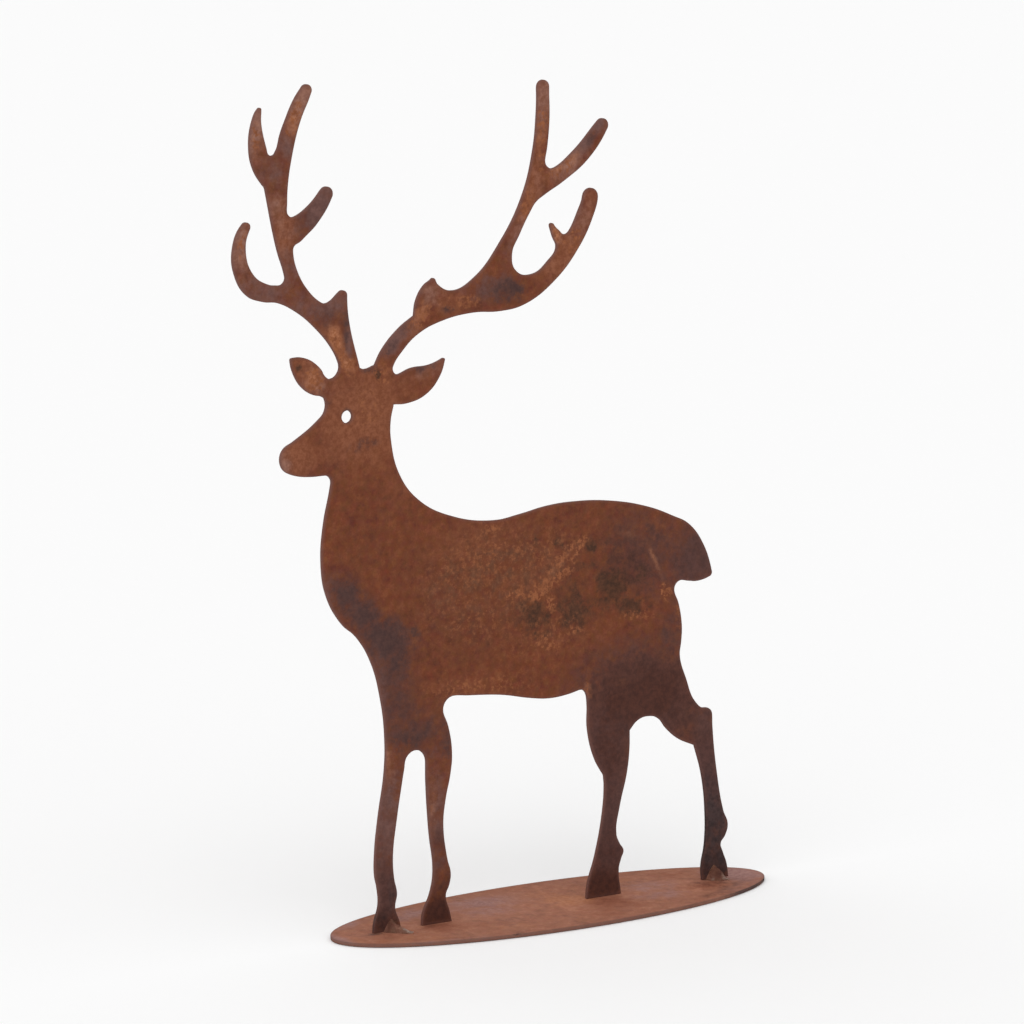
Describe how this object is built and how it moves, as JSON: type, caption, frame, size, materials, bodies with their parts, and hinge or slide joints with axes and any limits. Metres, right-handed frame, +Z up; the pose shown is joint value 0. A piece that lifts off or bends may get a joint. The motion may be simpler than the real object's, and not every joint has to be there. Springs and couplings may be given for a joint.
{
  "type": "stag silhouette statue",
  "caption": "Flat stag silhouette with branching antlers, cut from rusted steel sheet and welded upright on a thin oval foot plate, standing by its own weight.",
  "frame": {"origin": "centre of the oval foot plate's underside", "axes": "+Z up, -X the way the stag looks, -Y the side with the weld beads"},
  "size_m": [0.3403, 0.096, 0.4562],
  "materials": {
    "stag_rust": "dull brown rust with orange flecks and dark blotches",
    "foot_plate_rust": "dull, even, lighter reddish rust",
    "weld_rust": "lumpy rusted weld metal with small grey spots"
  },
  "bodies": {
    "root": {"stag_plate": "stag_rust", "base_plate": "foot_plate_rust", "fore_weld": "weld_rust", "hind_weld": "weld_rust"}
  },
  "joints": []
}
